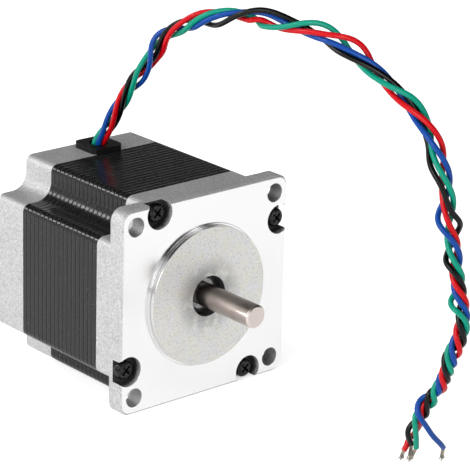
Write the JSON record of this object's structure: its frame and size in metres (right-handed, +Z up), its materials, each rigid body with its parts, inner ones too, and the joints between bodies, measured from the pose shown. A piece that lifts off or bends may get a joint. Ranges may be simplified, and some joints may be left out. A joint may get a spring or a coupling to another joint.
{
  "type": "stepper motor",
  "caption": "Square flanged hybrid stepper motor with a plain round shaft, a black laminated middle, aluminium end covers and loose lead wires from a grommet.",
  "frame": {"origin": "centre of the mounting bolt pattern on the flange's front face, where the shaft axis meets it", "axes": "-Y along the shaft, out of the motor; +Z up, through the side with the lead grommet; +X to the right for someone who looks along +Y at the flange"},
  "size_m": [0.0564, 0.1347, 0.1064],
  "materials": {
    "cast_cover": "bead-blasted cast aluminium with machined faces",
    "painted_laminations": "satin black paint over stacked laminations",
    "insulator_plastic": "moulded ivory plastic",
    "winding_wire": "enamelled copper wire, laid in rows",
    "board": "glass-fibre board with green coating",
    "tinned_copper": "tinned stranded copper",
    "black_jacket": "smooth black wire insulation",
    "red_jacket": "smooth red wire insulation",
    "blue_jacket": "smooth blue wire insulation",
    "green_jacket": "smooth green wire insulation",
    "grommet_plastic": "matt black moulded plastic",
    "black_steel": "black oxide steel",
    "ground_steel": "ground steel with fine turning marks",
    "rotor_steel": "pressed silicon steel with cut teeth",
    "magnet": "sintered magnet, dull grey",
    "bearing_steel": "polished bearing steel",
    "bearing_balls": "polished steel balls",
    "shield_steel": "pressed sheet steel",
    "spring_steel": "blued spring steel"
  },
  "bodies": {
    "housing": {"front_cover": "cast_cover", "rear_cover": "cast_cover", "stator_core": "painted_laminations", "front_insulator": "insulator_plastic", "rear_insulator": "insulator_plastic", "coil_a1": "winding_wire", "coil_b1": "winding_wire", "coil_a2": "winding_wire", "coil_b2": "winding_wire", "coil_a3": "winding_wire", "coil_b3": "winding_wire", "coil_a4": "winding_wire", "coil_b4": "winding_wire", "winding_tails": "winding_wire", "connection_board": "board", "lead_conductors": "tinned_copper", "lead_tails": "black_jacket", "lead_grommet": "grommet_plastic", "lead_red": "red_jacket", "lead_blue": "blue_jacket", "lead_green": "green_jacket", "lead_black": "black_jacket", "lead_tips": "tinned_copper", "case_screws": "black_steel", "screw_washers": "black_steel", "front_outer_ring": "bearing_steel", "front_shields": "shield_steel", "rear_outer_ring": "bearing_steel", "rear_shields": "shield_steel", "wave_washer": "spring_steel"},
    "rotor": {"shaft": "ground_steel", "rotor_cup_front": "rotor_steel", "rotor_cup_rear": "rotor_steel", "rotor_magnet": "magnet", "front_inner_ring": "bearing_steel", "rear_inner_ring": "bearing_steel"},
    "front_ball_set": {"front_cage": "shield_steel", "front_balls": "bearing_balls"},
    "rear_ball_set": {"rear_cage": "shield_steel", "rear_balls": "bearing_balls"}
  },
  "joints": [
    {"name": "rotor_spin", "type": "hinge", "parent": "housing", "child": "rotor", "pos_m": [0, 0, 0], "axis": [0, -1, 0], "continuous": true},
    {"name": "front_cage_spin", "type": "hinge", "parent": "housing", "child": "front_ball_set", "pos_m": [0, 0.0035, 0], "axis": [0, -1, 0], "continuous": true},
    {"name": "rear_cage_spin", "type": "hinge", "parent": "housing", "child": "rear_ball_set", "pos_m": [0, 0.0485, 0], "axis": [0, -1, 0], "continuous": true}
  ],
  "couplings": [
    {"joint": "front_cage_spin", "follows": "rotor_spin", "ratio": 0.3912},
    {"joint": "rear_cage_spin", "follows": "rotor_spin", "ratio": 0.3912}
  ]
}
